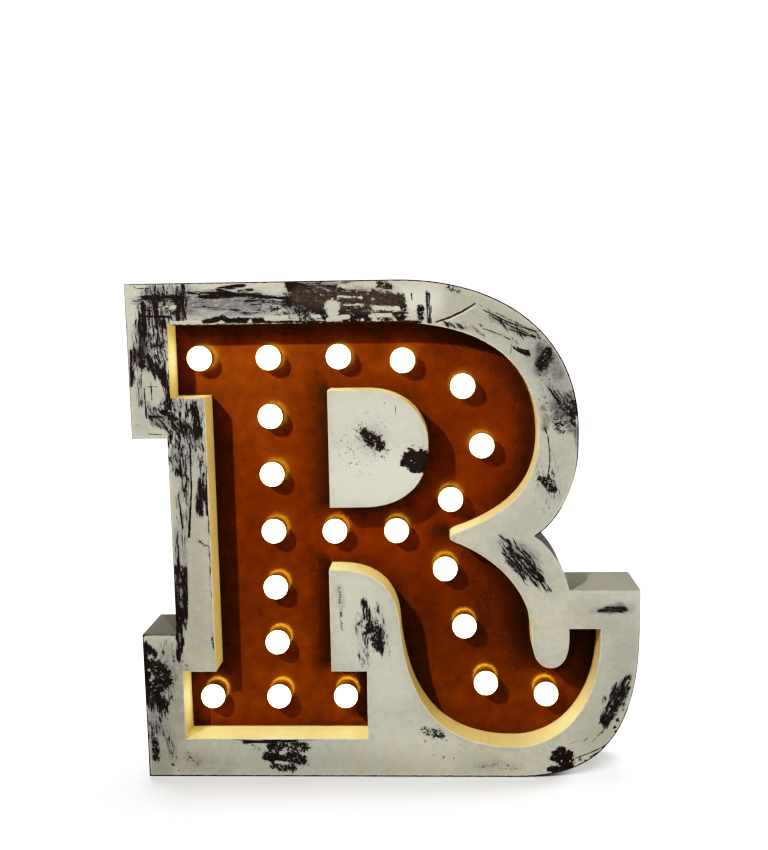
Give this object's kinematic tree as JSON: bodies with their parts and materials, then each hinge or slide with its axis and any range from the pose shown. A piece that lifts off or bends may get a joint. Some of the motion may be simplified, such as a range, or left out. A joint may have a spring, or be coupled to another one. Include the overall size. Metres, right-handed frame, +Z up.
{
  "type": "light-up letter",
  "caption": "Free-standing marquee letter R in distressed painted sheet metal: a lit tray with a rust-finished reflector, screw-in globe lamps and a closed back with inlet and switch.",
  "frame": {"origin": "middle of the bounding box's footprint, on the surface that the letter stands on", "axes": "+X to the letter's right as it is read, +Z up, the lit front faces -Y"},
  "size_m": [1, 0.17, 1],
  "materials": {
    "face_paint": "cream paint rubbed through to a dark brown base",
    "side_paint": "cream paint, lightly worn",
    "tray_paint": "satin cream paint",
    "rust_panel": "mottled rust finish under satin lacquer",
    "holder_plastic": "dark moulded plastic",
    "brass": "satin brass",
    "lamp": "opal globe on a metal screw cap",
    "steel": "zinc-plated",
    "back_paint": "dark brown primer, worn",
    "black_plastic": "matt black",
    "rocker_plastic": "gloss black",
    "terminal_plastic": "natural white",
    "cable": "black sheath"
  },
  "bodies": {
    "letter": {"front_face": "face_paint", "outer_return": "side_paint", "inner_return": "tray_paint", "counter_face": "face_paint", "counter_return": "tray_paint", "reflector_panel": "rust_panel", "reflector_rivets": "steel", "lampholders": "holder_plastic", "socket_collars": "holder_plastic", "rear_panel": "back_paint", "panel_tabs": "steel", "panel_screws": "steel", "power_inlet": "black_plastic", "inlet_pins": "brass", "inlet_screws": "steel", "switch_housing": "black_plastic", "terminal_block": "terminal_plastic", "supply_leads": "cable", "wiring_links": "cable", "earth_stud": "brass"},
    "bulb_01": {"bulb_01": "lamp"},
    "bulb_02": {"bulb_02": "lamp"},
    "bulb_03": {"bulb_03": "lamp"},
    "bulb_04": {"bulb_04": "lamp"},
    "bulb_05": {"bulb_05": "lamp"},
    "bulb_06": {"bulb_06": "lamp"},
    "bulb_07": {"bulb_07": "lamp"},
    "bulb_08": {"bulb_08": "lamp"},
    "bulb_09": {"bulb_09": "lamp"},
    "bulb_10": {"bulb_10": "lamp"},
    "bulb_11": {"bulb_11": "lamp"},
    "bulb_12": {"bulb_12": "lamp"},
    "bulb_13": {"bulb_13": "lamp"},
    "bulb_14": {"bulb_14": "lamp"},
    "bulb_15": {"bulb_15": "lamp"},
    "bulb_16": {"bulb_16": "lamp"},
    "bulb_17": {"bulb_17": "lamp"},
    "bulb_18": {"bulb_18": "lamp"},
    "bulb_19": {"bulb_19": "lamp"},
    "bulb_20": {"bulb_20": "lamp"},
    "bulb_21": {"bulb_21": "lamp"},
    "rocker": {"switch_rocker": "rocker_plastic"}
  },
  "joints": [
    {"name": "bulb_01_out", "type": "slide", "parent": "letter", "child": "bulb_01", "axis": [0, -1, 0], "range_m": [0, 0.025]},
    {"name": "bulb_02_out", "type": "slide", "parent": "letter", "child": "bulb_02", "axis": [0, -1, 0], "range_m": [0, 0.025]},
    {"name": "bulb_03_out", "type": "slide", "parent": "letter", "child": "bulb_03", "axis": [0, -1, 0], "range_m": [0, 0.025]},
    {"name": "bulb_04_out", "type": "slide", "parent": "letter", "child": "bulb_04", "axis": [0, -1, 0], "range_m": [0, 0.025]},
    {"name": "bulb_05_out", "type": "slide", "parent": "letter", "child": "bulb_05", "axis": [0, -1, 0], "range_m": [0, 0.025]},
    {"name": "bulb_06_out", "type": "slide", "parent": "letter", "child": "bulb_06", "axis": [0, -1, 0], "range_m": [0, 0.025]},
    {"name": "bulb_07_out", "type": "slide", "parent": "letter", "child": "bulb_07", "axis": [0, -1, 0], "range_m": [0, 0.025]},
    {"name": "bulb_08_out", "type": "slide", "parent": "letter", "child": "bulb_08", "axis": [0, -1, 0], "range_m": [0, 0.025]},
    {"name": "bulb_09_out", "type": "slide", "parent": "letter", "child": "bulb_09", "axis": [0, -1, 0], "range_m": [0, 0.025]},
    {"name": "bulb_10_out", "type": "slide", "parent": "letter", "child": "bulb_10", "axis": [0, -1, 0], "range_m": [0, 0.025]},
    {"name": "bulb_11_out", "type": "slide", "parent": "letter", "child": "bulb_11", "axis": [0, -1, 0], "range_m": [0, 0.025]},
    {"name": "bulb_12_out", "type": "slide", "parent": "letter", "child": "bulb_12", "axis": [0, -1, 0], "range_m": [0, 0.025]},
    {"name": "bulb_13_out", "type": "slide", "parent": "letter", "child": "bulb_13", "axis": [0, -1, 0], "range_m": [0, 0.025]},
    {"name": "bulb_14_out", "type": "slide", "parent": "letter", "child": "bulb_14", "axis": [0, -1, 0], "range_m": [0, 0.025]},
    {"name": "bulb_15_out", "type": "slide", "parent": "letter", "child": "bulb_15", "axis": [0, -1, 0], "range_m": [0, 0.025]},
    {"name": "bulb_16_out", "type": "slide", "parent": "letter", "child": "bulb_16", "axis": [0, -1, 0], "range_m": [0, 0.025]},
    {"name": "bulb_17_out", "type": "slide", "parent": "letter", "child": "bulb_17", "axis": [0, -1, 0], "range_m": [0, 0.025]},
    {"name": "bulb_18_out", "type": "slide", "parent": "letter", "child": "bulb_18", "axis": [0, -1, 0], "range_m": [0, 0.025]},
    {"name": "bulb_19_out", "type": "slide", "parent": "letter", "child": "bulb_19", "axis": [0, -1, 0], "range_m": [0, 0.025]},
    {"name": "bulb_20_out", "type": "slide", "parent": "letter", "child": "bulb_20", "axis": [0, -1, 0], "range_m": [0, 0.025]},
    {"name": "bulb_21_out", "type": "slide", "parent": "letter", "child": "bulb_21", "axis": [0, -1, 0], "range_m": [0, 0.025]},
    {"name": "rocker_tilt", "type": "hinge", "parent": "letter", "child": "rocker", "pos_m": [-0.297, 0.076, 0.162], "axis": [1, 0, 0], "range_deg": [-24, 0]}
  ]
}
